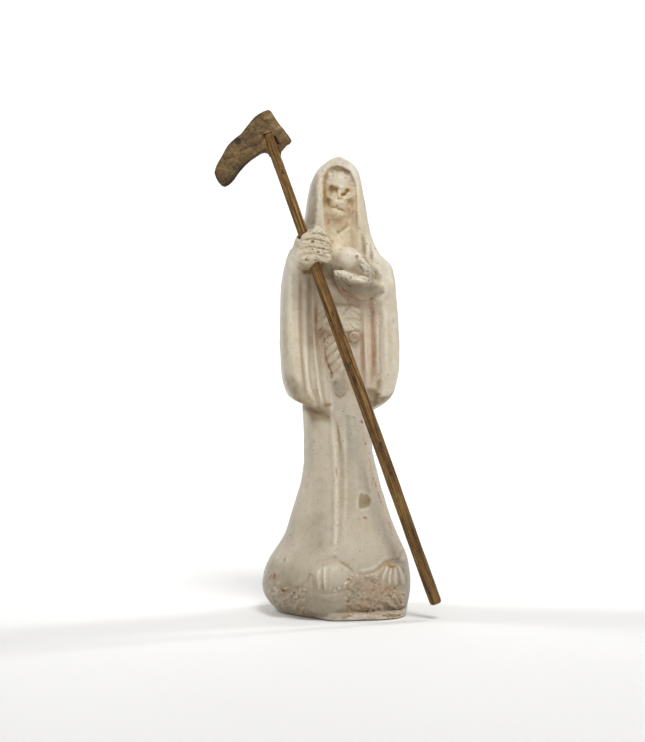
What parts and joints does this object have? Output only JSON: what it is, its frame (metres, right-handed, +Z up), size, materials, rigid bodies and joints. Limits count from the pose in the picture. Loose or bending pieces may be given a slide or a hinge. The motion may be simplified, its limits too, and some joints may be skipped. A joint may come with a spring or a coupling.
{
  "type": "hooded skeleton figurine",
  "caption": "Standing hooded skeleton figure in a long robe, holding a globe in one hand and a removable wooden scythe in the other fist.",
  "frame": {"origin": "centre of the flat base on the surface that the figure stands on", "axes": "+Z up, the figure faces -Y, +X towards its left hand"},
  "size_m": [0.0979, 0.0585, 0.2151],
  "materials": {
    "chalk_shell": "matt chalk coat over a moulded paper shell, pitted and faintly stained",
    "ballast": "rough cast plaster",
    "armature": "bare stick",
    "pole_wood": "hand-whittled, dark grain",
    "blade_wood": "weathered, grey-brown, worn edges"
  },
  "bodies": {
    "figure": {"robe_front": "chalk_shell", "robe_back": "chalk_shell", "hood": "chalk_shell", "skull": "chalk_shell", "sleeve_right": "chalk_shell", "sleeve_left": "chalk_shell", "hand_right": "chalk_shell", "hand_left": "chalk_shell", "globe": "chalk_shell", "belt": "chalk_shell", "belt_cord": "chalk_shell", "cord_knot": "chalk_shell", "cord_tassel": "chalk_shell", "hem_mound_centre": "chalk_shell", "hem_mound_right": "chalk_shell", "hem_mound_left": "chalk_shell", "base_plinth": "chalk_shell", "ballast": "ballast", "armature_post": "armature"},
    "scythe_pole": {"scythe_pole": "pole_wood"},
    "scythe_blade": {"scythe_blade": "blade_wood"}
  },
  "joints": [
    {"name": "scythe_slide", "type": "slide", "parent": "figure", "child": "scythe_pole", "axis": [-0.342, 0, 0.9397], "range_m": [-0.005, 0.18]},
    {"name": "scythe_turn", "type": "hinge", "parent": "scythe_pole", "child": "scythe_blade", "pos_m": [-0.03351, -0.027, 0.20481], "axis": [-0.342, 0, 0.9397], "continuous": true}
  ]
}
